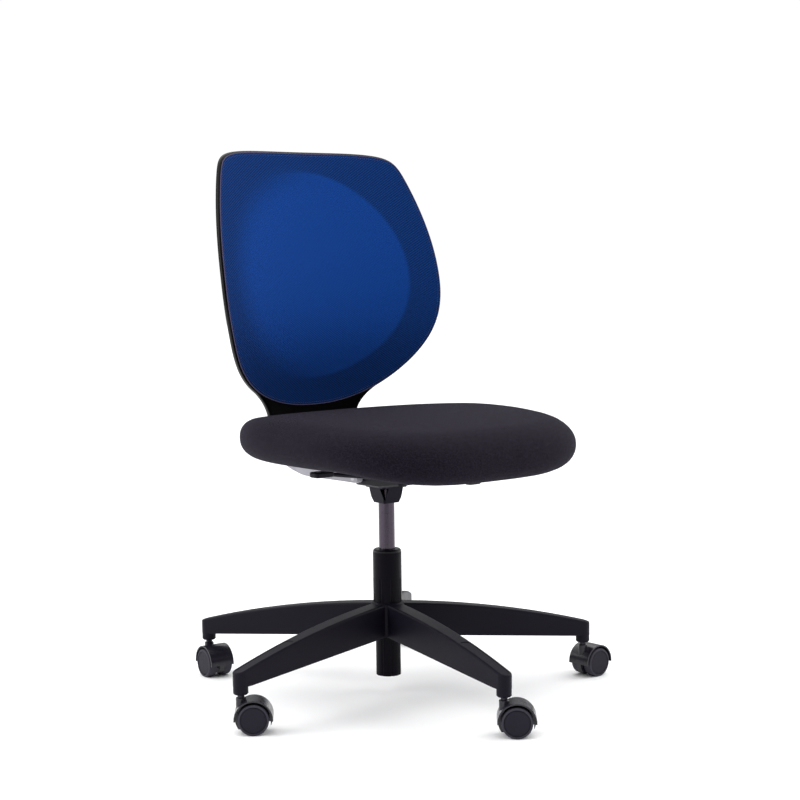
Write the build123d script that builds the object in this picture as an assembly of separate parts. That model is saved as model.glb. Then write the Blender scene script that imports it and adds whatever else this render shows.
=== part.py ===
from build123d import *
import os
from math import asin, copysign, cos, pi, radians, sin, sqrt, tan

# A swivel office chair without armrests. Millimetres, +Z up, the sitter faces -Y.
# The origin is on the floor, on the axis of the column.

# Base and column
ARM_COUNT = 5
BASE_RADIUS = 356.0          # column axis to caster stem axis
BASE_TURN = 46.5             # direction of the first arm, anticlockwise from +X
HUB_R = 30.0
HUB_BOTTOM = 99.0
HUB_TOP = 157.0
ARM_ROOT_HALF = 16.0         # half width of an arm at the column axis
ARM_ROOT_TOP = 156.0
ARM_TIP_HALF = 12.5
ARM_TIP_TOP = 98.5
ARM_TIP_BOTTOM = 76.0
ARM_START = 16.0             # where an arm begins, inside the hub
SOCKET_BOTTOM = 62.8
SLEEVE_R = 7.5
STAND_R = 25.0
STAND_LOW_R = 21.5
STAND_BOTTOM = 28.0
STAND_TOP = 244.0
CLIP_Z = (26.4, 27.6)        # groove near the rod's lower end
CYLINDER_R = 14.0
CYLINDER_BORE = 11.0
ROD_R = 5.0
RUNNING = 0.05               # radial clearance of every turning or sliding fit
GAP = 0.3                    # gap between curved faces that only lie close

# Casters
WHEEL_R = 25.0
WHEEL_TRAIL = 19.8
WHEEL_OUTER = 23.25          # half the width over both wheels
WHEEL_INNER = 6.5
TREAD_DEPTH = 3.6
CAP_R = 20.1                 # cap face of a wheel, inside the groove that parts it from the tread
CAP_GROOVE = 1.6
HOOD_R = 31.4
HOOD_WALL = 2.2
STEM_R = 5.5
AXLE_R = 3.0
# how far each caster has swivelled: direction of its trail, anticlockwise from +X
CASTER_TRAILS = (330.0, 265.0, 324.2, 319.4, 2.0)

# Mechanism
BOOT_BOTTOM = 330.0
HOUSING_BOTTOM = 361.0
HOUSING_TOP = 392.0
HOUSING_HALF = 42.0
RECLINE_Y = 24.0             # rear pivot, which carries the back
RECLINE_Z = 375.0
SEAT_PIVOT_Y = -80.0         # front pivot, which carries the seat
SEAT_PIVOT_Z = 384.0
LEVER_Y = -50.0
SPRING_Y = -50.0
SPRING_LENGTH = 44.0

# Seat
SEAT_HALF = 255.0
SEAT_FRONT = -310.0
SEAT_REAR = 195.0
SEAT_BOTTOM = 414.0
SEAT_TOP = 489.0
SEAT_POWER = 3.05            # 2 would be an ellipse, and a large number a square
SEAT_LOW_ROUND = 24.0        # radius of the cushion's lower edge
PLATE_BOTTOM = 409.0         # underside of the pan's thin plate
PLATE_INSET = 60.0           # how far its edge lies inside the cushion's
PLATE_FRONT = -150.0
PAN_BOTTOM = 399.0           # underside of the pan's centre block
SEAT_SCREWS = [(x, y, 0) for x in (-150, 150) for y in (-110, 110)]

# Back
BACK_HALF = 238.0
BACK_TOP = 944.0
SHIELD_BOTTOM = 484.0
LATERAL_R = 520.0            # radius of the back's curve round the sitter
MESH_T = 1.6
FRAME_FRONT = 1.9            # depth of the frame's front face behind the mesh's front
FRAME_T = 12.0
LUMBAR_Z = 640.0             # height of the back's most forward point
LUMBAR_Y = 181.0
NECK_Y = 215.0               # middle of the neck, below the lumbar curve
NECK_SIDE = ((93, 446), (97, 470), (118, 497), (150, 526))    # half width and height, upwards
OPENING_Z = 722.5            # middle of the frame's oval opening
OPENING_HALF = (190, 186)
CARRIER_T = 10.0
CARRIER_PLAN = ((53, 60), (60, 185), (72, 226), (72, 262))     # half width at each Y


def write(node, *solids):
    """Write one sub-part, which is one solid or a group of like solids."""
    shape = solids[0] if len(solids) == 1 else Compound(children=list(solids))
    export_step(shape, f"parts/{node}.step")


def tube(outer, inner, low, high):
    """Upright tube on the column axis."""
    ring = Cylinder(outer, high - low) - Cylinder(inner, high - low + 2)
    return Pos(0, 0, (low + high) / 2) * ring


def disc(radius, low, high):
    """Upright cylinder on the column axis."""
    return Pos(0, 0, (low + high) / 2) * Cylinder(radius, high - low)


def cross_cylinder(radius, left, right):
    """Cylinder along X through the origin, from x = left to x = right."""
    return Pos((left + right) / 2, 0, 0) * Rot(0, 90, 0) * Cylinder(radius, right - left)


def cross_pin(radius, left, right, y, z):
    return Pos(0, y, z) * cross_cylinder(radius, left, right)


# ---------------------------------------------------------------- base and column

def arm_plan(inset, start):
    """Plan of one arm along +X from x = start: straight sides into a round tip about the stem axis."""
    root, tip = ARM_ROOT_HALF - inset, ARM_TIP_HALF - inset
    lean = asin((root - tip) / BASE_RADIUS)
    reach = BASE_RADIUS + tip * sin(lean)
    side = tip * cos(lean)
    near = side + (reach - start) * tan(lean)
    sides = Polyline((reach, -side), (start, -near), (start, near), (reach, side))
    return make_face(sides + ThreePointArc((reach, side), (BASE_RADIUS + tip, 0), (reach, -side)))


def arm_top(drop):
    """Convex top line of an arm in its side view, lowered by drop."""
    return ThreePointArc((0, ARM_ROOT_TOP - drop), (190, 137 - drop), (BASE_RADIUS + 14, ARM_TIP_TOP - drop))


def arm_side_profile():
    """Side view of one arm: convex top, nearly straight underside."""
    top = arm_top(0)
    end = (top @ 1).X
    under = Polyline((end, ARM_TIP_TOP), (end, ARM_TIP_BOTTOM), (BASE_RADIUS - 14, ARM_TIP_BOTTOM),
                     (0, HUB_BOTTOM + 1), (0, ARM_ROOT_TOP))
    return make_face(top + under)


def arm_channel():
    """Shallow channel along the top of an arm, inside a narrow rim."""
    start, rim, depth = 240.0, 4.2, 0.8
    plan = extrude(arm_plan(rim, start), 200)
    plan = fillet(plan.edges().filter_by(Axis.Z).group_by(Axis.X)[0], 8)
    floor = arm_top(depth)
    end = floor @ 1
    over = Polyline((end.X, end.Y), (end.X, 190), (0, 190), (0, ARM_ROOT_TOP - depth))
    return plan & extrude(Plane.XZ * make_face(floor + over), 40, both=True)


def arm_pockets():
    """The hollow underside of an arm, in three pockets between cross ribs."""
    wall, rib, roof_t = 3.2, 3.0, 7.0
    roof = arm_top(roof_t)
    end = roof @ 1
    under = Polyline((end.X, end.Y), (end.X, 40), (0, 40), (0, ARM_ROOT_TOP - roof_t))
    band = extrude(Plane.XZ * make_face(roof + under), 40, both=True)
    cut = extrude(arm_plan(wall, 44), 200) & band
    cut -= Pos(BASE_RADIUS, 0, 100) * Box(2 * 28, 60, 200)
    for x in (140, 236):
        cut -= Pos(x, 0, 100) * Box(rib, 60, 200)
    return cut


def base_arm():
    arm = extrude(arm_plan(0, ARM_START), 200) & extrude(Plane.XZ * arm_side_profile(), 60, both=True)
    shoulder = [e for e in arm.edges() if e.bounding_box().min.Z > ARM_TIP_TOP - 2 and e.length > 5
                and e.bounding_box().max.X > 60]
    arm = fillet(shoulder, 3.5)
    boss = Pos(BASE_RADIUS, 0, 0) * disc(ARM_TIP_HALF - 0.3, SOCKET_BOTTOM, ARM_TIP_BOTTOM + 2)
    boss = chamfer(boss.edges().sort_by(Axis.Z)[0], 2.0)
    return arm - arm_channel() - arm_pockets() + boss


def base_star():
    """Five-armed base, one moulding, with a plain bore for the stand tube."""
    hub = disc(HUB_R, HUB_BOTTOM, HUB_TOP)
    hub = fillet(hub.edges().sort_by(Axis.Z)[-1], 5)
    arm = base_arm()
    for k in range(ARM_COUNT):
        hub += Rot(0, 0, BASE_TURN + 360 / ARM_COUNT * k) * arm
    hub -= disc(STAND_LOW_R, HUB_BOTTOM - 5, 140)
    hub -= disc(STAND_R, 140, HUB_TOP + 5)
    hub -= Pos(0, 0, 137) * Cone(STAND_LOW_R, STAND_R, 6)
    for k in range(ARM_COUNT):
        place = Rot(0, 0, BASE_TURN + 360 / ARM_COUNT * k) * Pos(BASE_RADIUS, 0, 0)
        hub -= place * disc(SLEEVE_R, SOCKET_BOTTOM - 1, 94)
    return hub


def socket_sleeves():
    """Five steel sleeves pressed in the arm tips, one for each caster stem."""
    sleeves = []
    for k in range(ARM_COUNT):
        place = Rot(0, 0, BASE_TURN + 360 / ARM_COUNT * k) * Pos(BASE_RADIUS, 0, 0)
        sleeves.append(place * tube(SLEEVE_R, STEM_R + RUNNING, SOCKET_BOTTOM, 94))
    return sleeves


def stand_tube():
    """Outer tube of the gas spring: thick above, fluted and narrower where the hub grips it."""
    wall = 1.8
    low = disc(STAND_LOW_R, STAND_BOTTOM, 134)
    cone = Pos(0, 0, 137) * Cone(STAND_LOW_R, STAND_R, 6)
    high = disc(STAND_R, 140, STAND_TOP)
    body = low + cone + high
    body -= disc(STAND_LOW_R - wall, STAND_BOTTOM + 3, STAND_TOP + 1)
    body -= disc(STAND_R - wall, 142, STAND_TOP + 1)
    body -= disc(ROD_R + 1, STAND_BOTTOM - 1, STAND_BOTTOM + 4)
    flute_top = 94
    for k in range(8):
        turn = Rot(0, 0, 22.5 + 45 * k)
        low_flute = Cylinder(3.2, flute_top - STAND_BOTTOM + 1)
        body -= turn * Pos(STAND_LOW_R + 2.2, 0, (STAND_BOTTOM + flute_top) / 2) * low_flute
        body -= turn * Pos(STAND_R + 2.6, 0, 178) * Cylinder(3.6, 42)
    return chamfer(body.edges().filter_by(GeomType.CIRCLE).sort_by(Axis.Z)[0:1], 0.3)


def guide_bush():
    """Plastic bush in the mouth of the stand tube, which the gas cylinder slides through."""
    bush = disc(STAND_R - 1.8, 186, STAND_TOP) + disc(STAND_R - 0.6, STAND_TOP, STAND_TOP + 5)
    bush = chamfer(bush.edges().sort_by(Axis.Z)[-1], 2.5)
    return bush - disc(CYLINDER_R + RUNNING, 180, STAND_TOP + 8)


def thrust_bearing():
    """Ball race with its washers, under the rod's shoulder."""
    return tube(12, ROD_R + RUNNING, STAND_BOTTOM + 3, STAND_BOTTOM + 9)


def piston_rod():
    """Rod of the gas spring, with the piston that stays inside the cylinder."""
    rod = disc(ROD_R, STAND_BOTTOM - 3, 262)
    shoulder = disc(8, STAND_BOTTOM + 9.2, STAND_BOTTOM + 12)
    piston = disc(CYLINDER_BORE - RUNNING, 250, 260)
    groove = tube(ROD_R + 1, ROD_R - 1, *CLIP_Z)
    return rod + shoulder + piston - groove


def retaining_clip():
    """Spring clip in the rod's groove, under the stand tube's floor."""
    clip = tube(9, ROD_R - 1, *CLIP_Z)
    return clip - Pos(8, 0, STAND_BOTTOM) * Box(12, 6, 6)


def gas_cylinder():
    """Sliding cylinder of the gas spring, tapered where the mechanism sits on it."""
    body = disc(CYLINDER_R, 140, 352) + Pos(0, 0, 368) * Cone(CYLINDER_R, CYLINDER_R - 1, 32)
    body -= disc(CYLINDER_BORE, 152, 372)
    body -= disc(ROD_R + RUNNING, 139, 153)
    body -= disc(3.2, 371, 385)
    for ring in (258.0, 312.0):
        body -= tube(CYLINDER_R + 1, CYLINDER_R - 0.25, ring, ring + 1)
    return body


def valve_pin():
    """Release button of the gas spring."""
    return disc(3.0, 374, 388)


# ---------------------------------------------------------------- casters

def caster_housing():
    """Hood over both wheels, closed web between them and boss for the stem, stem at the origin."""
    axle = Pos(0, WHEEL_TRAIL, WHEEL_R)
    width = 2 * WHEEL_OUTER - 1.5
    hood = axle * (cross_cylinder(HOOD_R, -width / 2, width / 2)
                   - cross_cylinder(HOOD_R - HOOD_WALL, -width, width))
    hood -= axle * Pos(0, 0, -HOOD_R - 2) * Box(60, 90, 2 * HOOD_R)
    web_half = WHEEL_INNER - 1.2
    web = axle * cross_cylinder(HOOD_R - HOOD_WALL + 1, -web_half, web_half)
    web -= Pos(0, WHEEL_TRAIL, -HOOD_R + 7) * Box(30, 90, 2 * HOOD_R)
    web -= axle * Pos(0, 19, -12) * Box(30, 16, 12)
    boss = disc(8.2, WHEEL_R, 58.0)
    boss -= Pos(WHEEL_INNER + 5, 6, WHEEL_R + 6) * Box(10, 40, 27)
    boss -= Pos(-WHEEL_INNER - 5, 6, WHEEL_R + 6) * Box(10, 40, 27)
    boss = chamfer(boss.edges().filter_by(GeomType.CIRCLE).sort_by(Axis.Z)[-1], 1.0)
    beside_web = cross_cylinder(WHEEL_R + 1.5, web_half, 40) + cross_cylinder(WHEEL_R + 1.5, -40, -web_half)
    body = hood + web + (boss - axle * beside_web)
    body -= disc(STEM_R, 34, 60)
    return body - axle * cross_cylinder(AXLE_R, -20, 20)


def caster_stem():
    """Steel stem, gripped by the housing below and turning in the arm's sleeve above."""
    stem = disc(STEM_R, 34, 90)
    stem = chamfer(stem.edges().sort_by(Axis.Z)[-1], 1.2)
    return stem - tube(STEM_R + 1, STEM_R - 0.8, 82, 84)


def caster_axle():
    return Pos(0, WHEEL_TRAIL, WHEEL_R) * cross_cylinder(AXLE_R, -WHEEL_OUTER + 3, WHEEL_OUTER - 3)


def wheel_core(side):
    """Hard wheel, bored for the axle, with a groove round its cap face. Side is 1 or -1."""
    face = side * (WHEEL_OUTER - 0.5)
    core = cross_cylinder(WHEEL_R - TREAD_DEPTH, *sorted((side * WHEEL_INNER, face)))
    groove = sorted((face + side, face - side * CAP_GROOVE))
    core -= cross_cylinder(WHEEL_R, *groove) - cross_cylinder(CAP_R, *groove)
    core -= cross_cylinder(AXLE_R + RUNNING, *sorted((side * (WHEEL_INNER - 1), side * (WHEEL_OUTER - 2.6))))
    return Pos(0, WHEEL_TRAIL, WHEEL_R) * core


def wheel_tread(side):
    """Soft ring moulded round the core, with rounded shoulders."""
    low, high = sorted((side * WHEEL_INNER, side * WHEEL_OUTER))
    ring = cross_cylinder(WHEEL_R, low, high) - cross_cylinder(WHEEL_R - TREAD_DEPTH, low - 1, high + 1)
    rims = [e for e in ring.edges().filter_by(GeomType.CIRCLE) if e.radius > WHEEL_R - 0.1]
    ring = fillet(rims, 2.2)
    return Pos(0, WHEEL_TRAIL, WHEEL_R) * ring


def caster_place(index):
    """Location of one caster's stem axis, turned to the way its wheels trail."""
    arm = radians(BASE_TURN + 360 / ARM_COUNT * index)
    return (Pos(BASE_RADIUS * cos(arm), BASE_RADIUS * sin(arm), 0)
            * Rot(0, 0, CASTER_TRAILS[index] - 90))


# ---------------------------------------------------------------- mechanism

def socket_boot():
    """Square tapered boot round the cylinder, with a V notch in each corner."""
    low_half, high_half = 16.5, 27.5
    wall = 2.6
    skins = []
    for inset, corner in ((0, 4), (wall, 2)):
        low, high = 2 * (low_half - inset), 2 * (high_half - inset)
        skins.append(loft([Plane.XY.offset(BOOT_BOTTOM) * RectangleRounded(low, low, corner),
                           Plane.XY.offset(HOUSING_BOTTOM) * RectangleRounded(high, high, corner)]))
    boot = skins[0] - skins[1]
    for k in range(4):
        notch = Plane.XZ * Polyline((0, BOOT_BOTTOM + 4), (8, HOUSING_BOTTOM - 4), (-8, HOUSING_BOTTOM - 4),
                                    close=True)
        boot -= Rot(0, 0, 45 + 90 * k) * Pos(0, -20, 0) * extrude(make_face(notch), 30)
    return boot - disc(CYLINDER_R + GAP, BOOT_BOTTOM - 1, HOUSING_BOTTOM + 1)


def mechanism_housing():
    """Cast bowl with cheeks for both pivots and a tapered socket for the gas cylinder."""
    front, knee, rear, rise = -92.0, -30.0, 38.0, 9.0
    side = make_face(Polyline((front, HOUSING_TOP), (front, HOUSING_BOTTOM + rise), (knee, HOUSING_BOTTOM),
                              (rear, HOUSING_BOTTOM), (rear, HOUSING_TOP), close=True))
    bowl = extrude(Plane.YZ * side, HOUSING_HALF, both=True)
    bowl = fillet(bowl.edges().filter_by(Axis.Z), 8)
    rims = [e for e in bowl.edges() if e.bounding_box().max.Z < HOUSING_BOTTOM + rise + 0.1]
    bowl = chamfer([e for e in rims if abs(e.center().Y - knee) > 0.1], 3)
    spring_bay = Pos(0, SPRING_Y, HOUSING_TOP) * Box(2 * HOUSING_HALF - 14, SPRING_LENGTH + 2, 46)
    valve_bay = Pos(0, 0, HOUSING_TOP) * Box(2 * HOUSING_HALF - 14, 42, 12)
    bowl -= spring_bay + valve_bay
    bowl -= disc(CYLINDER_R, HOUSING_BOTTOM - 1, HOUSING_TOP + 1)
    bowl -= cross_pin(5, -60, 60, RECLINE_Y, RECLINE_Z)
    bowl -= cross_pin(4, -60, 60, SEAT_PIVOT_Y, SEAT_PIVOT_Z)
    bowl -= cross_pin(3.5 + RUNNING, -60, 60, LEVER_Y, SEAT_PIVOT_Z - 2)
    return bowl - cross_pin(4.0 + RUNNING, 20, 60, -18, SEAT_PIVOT_Z - 8)


def tilt_spring():
    """Compression spring of the tilt, lying along Y in its bay, as a wound coil."""
    radius, wire, length, turns = 9.0, 1.6, SPRING_LENGTH - 4, 6
    path = Helix(length / turns, length, radius)
    start = path @ 0
    section = Plane(origin=start, z_dir=path % 0) * Circle(wire)
    coil = sweep(section, path, is_frenet=True)
    return Pos(0, SPRING_Y + length / 2, HOUSING_TOP - 11.4) * Rot(90, 0, 0) * coil


def lever(side, reach, rise, paddle_length, paddle_width):
    """Steel rod from the housing, cranked up or down to a moulded paddle on its outer end."""
    z = SEAT_PIVOT_Z - 2
    start = HOUSING_HALF - 8
    path = Polyline((start, 0, 0), (HOUSING_HALF + 14, 0, 0), (reach, 0, rise))
    path = fillet(path.vertices().sort_by(Axis.X)[1:2], 8)
    rod = sweep(Plane(origin=(start, 0, 0), z_dir=(1, 0, 0)) * Circle(3.5), path)
    paddle = Pos(reach + paddle_length / 2 - 12, 0, rise) * Box(paddle_length, paddle_width, 9)
    paddle = fillet(paddle.edges().filter_by(Axis.Z), 8)
    paddle = fillet(paddle.edges().group_by(Axis.Z)[-1] + paddle.edges().group_by(Axis.Z)[0], 2.5)
    turned = Rot(0, 0, 0) if side > 0 else Rot(0, 0, 180)
    return Pos(0, LEVER_Y, z) * turned * (rod + paddle)


def tension_knob():
    """Round grip with finger flutes on the left of the housing."""
    y, z = -18.0, SEAT_PIVOT_Z - 8
    knob = cross_cylinder(13, HOUSING_HALF + 8, HOUSING_HALF + 48)
    knob = fillet(knob.edges().filter_by(GeomType.CIRCLE), 2.5)
    for k in range(8):
        flute = cross_cylinder(2.6, HOUSING_HALF + 12, HOUSING_HALF + 60)
        knob -= Rot(45 * k, 0, 0) * Pos(0, 0, 14.5) * flute
    knob += cross_cylinder(4.0, 22, HOUSING_HALF + 9)
    return Pos(0, y, z) * knob


# ---------------------------------------------------------------- seat

def seat_plan(inset):
    """Plan of the seat, pulled in by inset: a rounded square that bows on every side."""
    half = SEAT_HALF - inset
    middle, reach = (SEAT_FRONT + SEAT_REAR) / 2, (SEAT_REAR - SEAT_FRONT) / 2 - inset
    points = []
    for angle in range(0, 360, 12):
        c, s = cos(radians(angle)), sin(radians(angle))
        points.append((copysign(half * abs(c) ** (2 / SEAT_POWER), c),
                       copysign(reach * abs(s) ** (2 / SEAT_POWER), s) + middle))
    return make_face(Spline(*points, periodic=True))


def seat_cushion():
    """Foam cushion: crowned top, front that rolls down, fabric side all round."""
    over, dip_start = 5, -150
    front_low = (SEAT_FRONT - over, SEAT_BOTTOM - 31.5)
    top = Spline((SEAT_FRONT - over, SEAT_TOP - 69), (-307, SEAT_TOP - 49), (-296, SEAT_TOP - 32),
                 (-261, SEAT_TOP - 15.5), (-190, SEAT_TOP - 6.5), (-40, SEAT_TOP), (90, SEAT_TOP - 4.6),
                 (SEAT_REAR + over, SEAT_TOP - 15.5))
    rear = Line(top @ 1, (SEAT_REAR + over, SEAT_BOTTOM))
    under = Line((SEAT_REAR + over, SEAT_BOTTOM), (dip_start, SEAT_BOTTOM))
    dip = Spline((dip_start, SEAT_BOTTOM), (-230, SEAT_BOTTOM - 10), front_low,
                 tangents=((-1, 0), (-1, -0.31)))
    front = Line(front_low, top @ 0)
    profile = make_face(Curve() + [top, rear, under, dip, front])
    band = extrude(Plane.YZ * profile, SEAT_HALF + over, both=True)
    cushion = band & (Pos(0, 0, 300) * extrude(seat_plan(0), 300))
    low_edges = [e for e in cushion.edges() if e.bounding_box().max.Z < SEAT_BOTTOM + 1]
    return fillet([e for e in low_edges if abs(e.center().X) > 1 or e.center().Y < SEAT_FRONT + 20
                   or e.center().Y > SEAT_REAR - 20], SEAT_LOW_ROUND)


def seat_pan():
    """Moulded pan that carries the cushion, with two lugs on the front pivot pin."""
    plate = Pos(0, 0, PLATE_BOTTOM) * extrude(seat_plan(PLATE_INSET), SEAT_BOTTOM - 0.2 - PLATE_BOTTOM)
    plate -= Pos(0, PLATE_FRONT - 150, SEAT_BOTTOM) * Box(600, 300, 60)
    block_top = PLATE_BOTTOM + 1
    block = Pos(0, -92, (PAN_BOTTOM + block_top) / 2) * Box(130, 90, block_top - PAN_BOTTOM)
    pan = plate + fillet(block.edges().filter_by(Axis.Z), 18)
    lug_bottom, lug_top = SEAT_PIVOT_Z - 8, PAN_BOTTOM + 2
    for side in (-1, 1):
        lug = Box(6, 22, lug_top - lug_bottom)
        pan += Pos(side * (HOUSING_HALF + 4.5), SEAT_PIVOT_Y, (lug_bottom + lug_top) / 2) * lug
    for place in SEAT_SCREWS:
        pan -= Pos(*place) * disc(2.5, 300, 500)
    return pan - cross_pin(4 + RUNNING, -80, 80, SEAT_PIVOT_Y, SEAT_PIVOT_Z)


def seat_screws():
    """Four pan-head screws from below the pan, up to the cushion's board."""
    screw = disc(5, PLATE_BOTTOM - 3, PLATE_BOTTOM) + disc(2.5, PLATE_BOTTOM - 1, SEAT_BOTTOM - 0.4)
    return [Pos(*place) * screw for place in SEAT_SCREWS]


# ---------------------------------------------------------------- back

def spine(height):
    """Side view of the back's middle line: how far behind the column it is at a height."""
    above = height - LUMBAR_Z
    if above > 0:
        lean, knee = 0.291, 100.0
        return LUMBAR_Y + lean * (sqrt(above ** 2 + knee ** 2) - knee)
    run, depth = 170.0, NECK_Y - LUMBAR_Y
    below = min(-above, run)
    return LUMBAR_Y + depth / 2 * (1 - cos(pi * below / run))


def back_band(front, thickness):
    """The back's curved sheet, wide enough to be cut to shape, set back by front."""
    rows = []
    for height in range(420, 981, 40):
        y = spine(height) + front
        rows.append([Vector(x, y - LATERAL_R + sqrt(LATERAL_R ** 2 - x ** 2), height)
                     for x in range(-260, 261, 40)])
    return extrude(Face.make_surface_from_array_of_points(rows), thickness, dir=(0, 1, 0))


def shield_outline(inset):
    """Front view of the back without its neck: flat top, flaring sides, round below."""
    half, waist = BACK_HALF - inset, 710.0
    above, below = BACK_TOP - inset - waist, waist - SHIELD_BOTTOM - inset
    flare, top_half = 0.00095, BACK_HALF - inset - 50.0
    points = []
    for share in (0.35, 0.6, 0.79, 0.9):
        points.append((top_half * share, waist + above * (1 - share ** 4.2) ** (1 / 30)))
    for rise in (0.93, 0.88, 0.78, 0.62, 0.45, 0.25, 0.0):
        width = half - flare * (rise * above) ** 2
        points.append((width * (1 - rise ** 30) ** (1 / 4.2), waist + rise * above))
    for angle in (12, 25, 38, 50, 61, 71, 80):
        c, s = cos(radians(angle)), sin(radians(angle))
        points.append((half * c ** (2 / 2.2), waist - below * s ** (2 / 2.2)))
    right = Spline((0, waist + above), *points, (0, waist - below), tangents=((1, 0), (-1, 0)))
    return make_face(Curve() + [right, right.mirror(Plane.YZ)])


def back_frame():
    """Wide moulded ring with an oval opening and a neck below."""
    foot, waist, flare, root = NECK_SIDE
    side = Curve() + [Line(foot, waist), Spline(waist, flare, root, tangents=((0.1, 1), (1, 0.95)))]
    across = [Line((-foot[0], foot[1]), foot), Line((-root[0], root[1]), root)]
    outline = shield_outline(0) + make_face(Curve() + [side, side.mirror(Plane.YZ), *across])
    opening = Pos(0, OPENING_Z) * Ellipse(*OPENING_HALF)
    plan = extrude(Plane.XZ * (outline - opening), -400)
    return (back_band(FRAME_FRONT, FRAME_T) & plan) - back_screws()


def back_mesh():
    """Knitted mesh stretched over the front of the frame."""
    plan = extrude(Plane.XZ * shield_outline(3.5), -400)
    return back_band(0, MESH_T) & plan


def back_carrier():
    """Moulded carrier: forks on the rear pivot, runs back under the seat and up behind it."""
    y_up = NECK_Y + FRAME_FRONT + FRAME_T + GAP
    inner = Spline((64, 384), (120, 384), (178, 388), (y_up - 21, 406), (y_up, 440), (y_up, 500),
                   tangents=((1, 0), (0, 1)))
    outer = Spline((64, 366), (120, 366), (178, 370), (y_up - 13, 390), (y_up + CARRIER_T, 434),
                   (y_up + CARRIER_T, 500), tangents=((1, 0), (0, 1)))
    ends = [Line(inner @ 0, outer @ 0), Line(inner @ 1, outer @ 1)]
    profile = make_face(Curve() + [inner, outer, *ends])
    bar = extrude(Plane.YZ * profile, 110, both=True)
    mirrored = [(-half, y) for half, y in reversed(CARRIER_PLAN)]
    plan = make_face(Polyline(*CARRIER_PLAN, *mirrored, close=True))
    bar &= Pos(0, 0, 340) * extrude(plan, 200)
    bar = fillet(bar.edges().filter_by(Axis.X).group_by(Axis.Z)[-1], 3)
    bar -= back_screws()
    for side in (-1, 1):
        cheek = Box(12, 80 - RECLINE_Y, 17)
        cheek = Pos(side * (HOUSING_HALF + 7), (RECLINE_Y + 52) / 2, RECLINE_Z) * cheek
        bar += fillet(cheek.edges().filter_by(Axis.X).group_by(Axis.Y)[0], 8)
    return bar - cross_pin(5 + RUNNING, -80, 80, RECLINE_Y, RECLINE_Z)


def back_screws():
    """Four screws through the carrier into the frame's neck."""
    head = Pos(0, 0, NECK_Y + 26) * Cylinder(5, 6)
    shank = Pos(0, 0, NECK_Y + 15) * Cylinder(2.5, 22)
    screw = Rot(-90, 0, 0) * (head + shank)
    return [Pos(x, 0, z) * screw for x in (-60, 60) for z in (460, 486)]


# ---------------------------------------------------------------- write every sub-part

os.makedirs("parts", exist_ok=True)
write("base_star", base_star())
write("socket_sleeves", *socket_sleeves())
write("stand_tube", stand_tube())
write("guide_bush", guide_bush())
write("thrust_bearing", thrust_bearing())
write("piston_rod", piston_rod())
write("retaining_clip", retaining_clip())
write("gas_cylinder", gas_cylinder())
write("valve_pin", valve_pin())
for k in range(ARM_COUNT):
    spot = caster_place(k)
    write(f"caster_{k + 1}_housing", spot * caster_housing())
    write(f"caster_{k + 1}_stem", spot * caster_stem())
    write(f"caster_{k + 1}_axle", spot * caster_axle())
    for name, side in (("left", -1), ("right", 1)):
        write(f"caster_{k + 1}_wheel_{name}", spot * wheel_core(side))
        write(f"caster_{k + 1}_tread_{name}", spot * wheel_tread(side))
write("socket_boot", socket_boot())
write("mechanism_housing", mechanism_housing())
write("tilt_spring", tilt_spring())
write("back_pivot_pin", cross_pin(5, -HOUSING_HALF - 13, HOUSING_HALF + 13, RECLINE_Y, RECLINE_Z))
write("seat_pivot_pin", cross_pin(4, -HOUSING_HALF - 8, HOUSING_HALF + 8, SEAT_PIVOT_Y, SEAT_PIVOT_Z))
write("height_lever", lever(-1, 166, 16, 38, 26))
write("tilt_lock_lever", lever(1, 152, -26, 30, 18))
write("tension_knob", tension_knob())
write("seat_pan", seat_pan())
write("seat_cushion", seat_cushion())
write("seat_screws", *seat_screws())
write("back_frame", back_frame())
write("back_mesh", back_mesh())
write("back_carrier", back_carrier())
write("back_screws", *back_screws())
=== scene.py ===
from math import cos, pi, radians, sin, sqrt

import bmesh
import bpy
import numpy as np
from mathutils import Matrix, Vector


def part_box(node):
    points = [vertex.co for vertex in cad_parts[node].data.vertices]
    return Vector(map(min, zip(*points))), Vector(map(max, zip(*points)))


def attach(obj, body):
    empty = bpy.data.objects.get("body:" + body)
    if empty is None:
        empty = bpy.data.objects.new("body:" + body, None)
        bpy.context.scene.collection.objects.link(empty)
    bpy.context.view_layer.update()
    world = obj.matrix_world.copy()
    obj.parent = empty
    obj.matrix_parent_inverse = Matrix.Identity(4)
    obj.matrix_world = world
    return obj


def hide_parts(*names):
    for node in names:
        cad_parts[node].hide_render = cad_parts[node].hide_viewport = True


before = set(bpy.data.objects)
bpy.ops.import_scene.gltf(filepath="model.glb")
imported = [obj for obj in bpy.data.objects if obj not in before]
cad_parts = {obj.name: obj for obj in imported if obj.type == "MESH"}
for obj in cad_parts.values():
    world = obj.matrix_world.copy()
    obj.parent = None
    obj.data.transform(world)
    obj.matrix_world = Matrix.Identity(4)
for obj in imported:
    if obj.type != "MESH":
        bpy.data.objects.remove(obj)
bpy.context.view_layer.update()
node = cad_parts

# ---------------------------------------------------------------- studio
# A pale floor that runs out to the backdrop, one broad soft light overhead, two large panels at the
# sides, and a long lens a little above seat height that looks at the chair's front right corner.


def stage_sheet(name, middle, right, up, colour, roughness, specular):
    """A flat painted rectangle of the studio, which reaches right and up from its middle."""
    mesh = bpy.data.meshes.new(name)
    corners = [middle + right * a + up * b for a, b in ((-1, -1), (1, -1), (1, 1), (-1, 1))]
    mesh.from_pydata(corners, [], [(0, 1, 2, 3)])
    paint = bpy.data.materials.new(name + "_paint")
    paint.use_nodes = True
    shader = paint.node_tree.nodes["Principled BSDF"].inputs
    shader["Base Color"].default_value = (*colour, 1)
    shader["Roughness"].default_value = roughness
    shader["Specular IOR Level"].default_value = specular
    mesh.materials.append(paint)
    sheet = bpy.data.objects.new(name, mesh)
    bpy.context.scene.collection.objects.link(sheet)
    return sheet


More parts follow.
